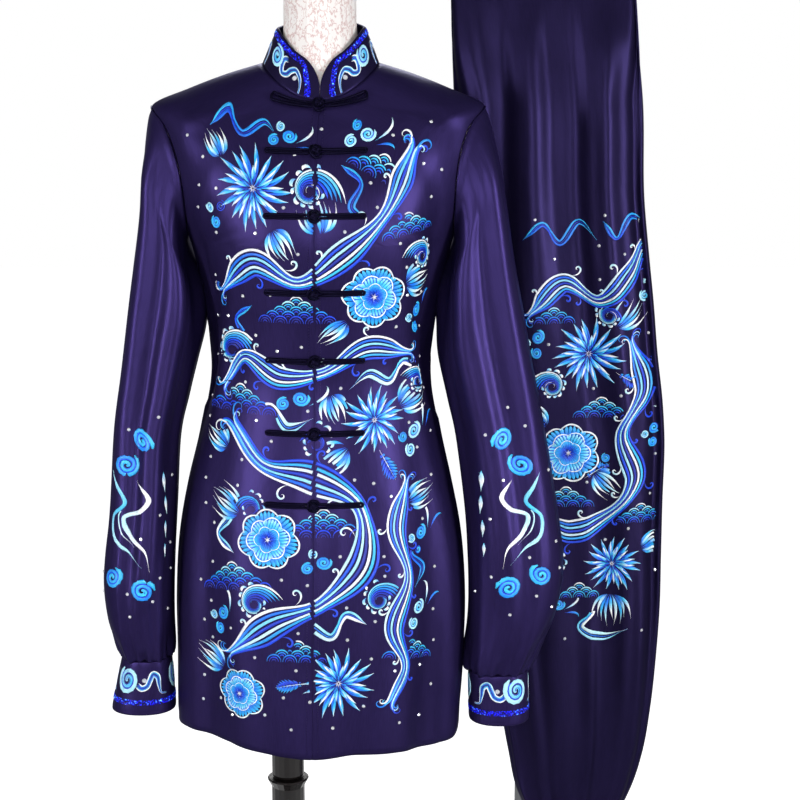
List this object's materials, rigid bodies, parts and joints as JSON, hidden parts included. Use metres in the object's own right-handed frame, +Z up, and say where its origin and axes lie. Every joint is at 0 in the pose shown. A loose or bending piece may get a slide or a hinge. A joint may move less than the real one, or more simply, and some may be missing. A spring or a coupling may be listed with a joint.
{
  "type": "tai chi uniform on dress form and trouser stand",
  "caption": "Satin tai chi jacket with stand collar and knotted frogs on a limbless dress form, its loose trousers hung folded from a clip hanger on a slim stand.",
  "frame": {"origin": "on the floor under the centre of the dress form's pole and base", "axes": "+Z up, the front of the jacket faces -Y, the wearer's left is towards +X"},
  "size_m": [0.6368, 0.555, 1.6],
  "materials": {
    "satin": "navy satin with a soft sheen",
    "trim": "navy satin bias cord",
    "form": "off-white stretch cover, matt",
    "black": "black gloss lacquer",
    "steel": "bright plated wire",
    "stand": "brushed steel tube",
    "clip": "plain pale plastic"
  },
  "bodies": {
    "root": {"front_right": "satin", "front_left": "satin", "back": "satin", "sleeve_right": "satin", "sleeve_left": "satin", "cuff_right": "satin", "cuff_left": "satin", "collar": "satin", "frog_1_strap": "trim", "frog_1_knot": "trim", "frog_1_loop": "trim", "frog_2_strap": "trim", "frog_2_knot": "trim", "frog_2_loop": "trim", "frog_3_strap": "trim", "frog_3_knot": "trim", "frog_3_loop": "trim", "frog_4_strap": "trim", "frog_4_knot": "trim", "frog_4_loop": "trim", "frog_5_strap": "trim", "frog_5_knot": "trim", "frog_5_loop": "trim", "frog_6_strap": "trim", "frog_6_knot": "trim", "frog_6_loop": "trim", "frog_7_strap": "trim", "frog_7_knot": "trim", "frog_7_loop": "trim", "leg_left": "satin", "leg_right": "satin", "waistband": "satin", "ankle_band_left": "satin", "ankle_band_right": "satin", "hanger_bar": "steel", "hanger_hook": "steel", "clip_front": "clip", "clip_back": "clip", "trouser_stand_base": "stand", "trouser_stand_pole": "stand", "trouser_stand_arm": "stand", "dress_form": "form", "neck_cap": "black", "pole_upper": "black", "pole_lower": "black", "form_base": "black"}
  },
  "joints": []
}
